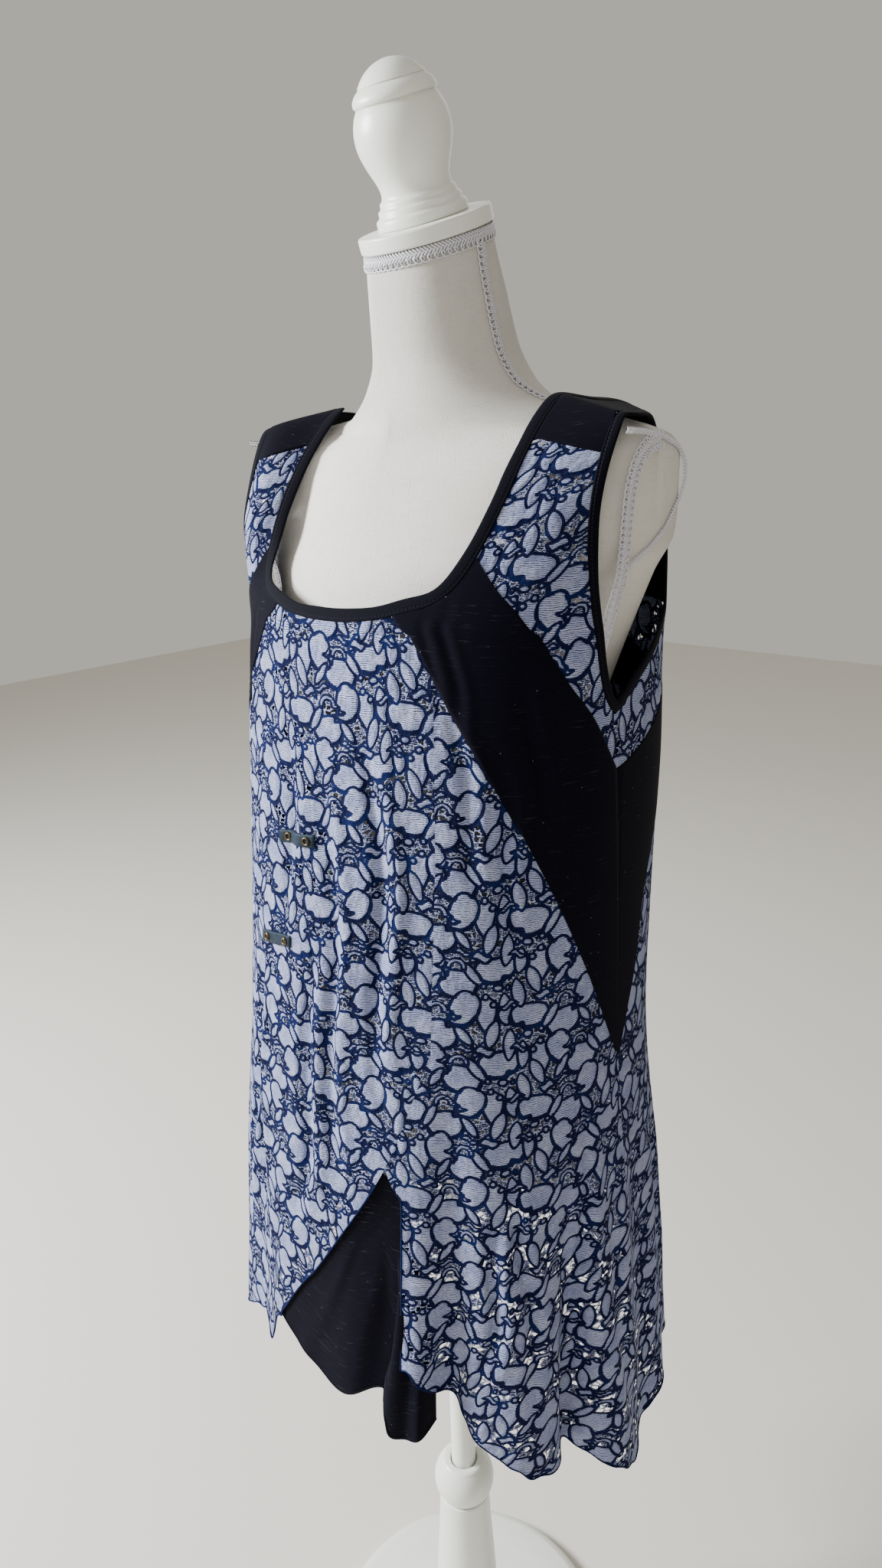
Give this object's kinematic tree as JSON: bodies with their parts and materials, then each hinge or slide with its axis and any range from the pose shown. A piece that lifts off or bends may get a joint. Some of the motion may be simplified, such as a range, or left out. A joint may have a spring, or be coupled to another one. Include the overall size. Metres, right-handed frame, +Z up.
{
  "type": "tunic top on dress form",
  "caption": "Sleeveless A-line lace and jersey tunic top with a slanted front slit, worn on a padded limbless dress form on a turned stand.",
  "frame": {"origin": "middle of the underside of the stand's round base, on the axis of the pole", "axes": "+Z up along the pole; the front of the garment faces -Y; the wearer's left is +X"},
  "size_m": [0.4543, 0.3978, 1.6658],
  "materials": {
    "lace": "matte ribbed knit, openwork",
    "jersey": "matte slub jersey",
    "binding": "matte folded knit binding",
    "leather": "smooth, semi-matte",
    "brass": "aged, satin",
    "linen": "matte plain-woven linen",
    "braid": "looped gimp braid with a slight sheen",
    "paint": "white satin paint on turned wood"
  },
  "bodies": {
    "root": {"armhole_binding_left": "binding", "armhole_binding_right": "binding", "back_band_left": "jersey", "back_band_right": "jersey", "back_lace": "lace", "back_top": "jersey", "back_yoke_left": "lace", "back_yoke_right": "lace", "braid_neck": "braid", "braid_neck_left": "braid", "braid_neck_right": "braid", "braid_plate_left": "braid", "braid_plate_right": "braid", "eyelet_lower_1": "brass", "eyelet_lower_2": "brass", "eyelet_upper_1": "brass", "eyelet_upper_2": "brass", "form_body": "linen", "form_collar": "paint", "front_band_left": "jersey", "front_band_right": "jersey", "front_inset": "jersey", "front_lace_left": "lace", "front_lace_right": "lace", "front_yoke_left": "lace", "front_yoke_right": "lace", "neck_binding": "binding", "neck_disc": "paint", "neck_finial": "paint", "shoulder_left": "jersey", "shoulder_right": "jersey", "stand_ball": "paint", "stand_base": "paint", "stand_column": "paint", "stand_pole": "paint", "tab_lower": "leather", "tab_upper": "leather"}
  },
  "joints": []
}
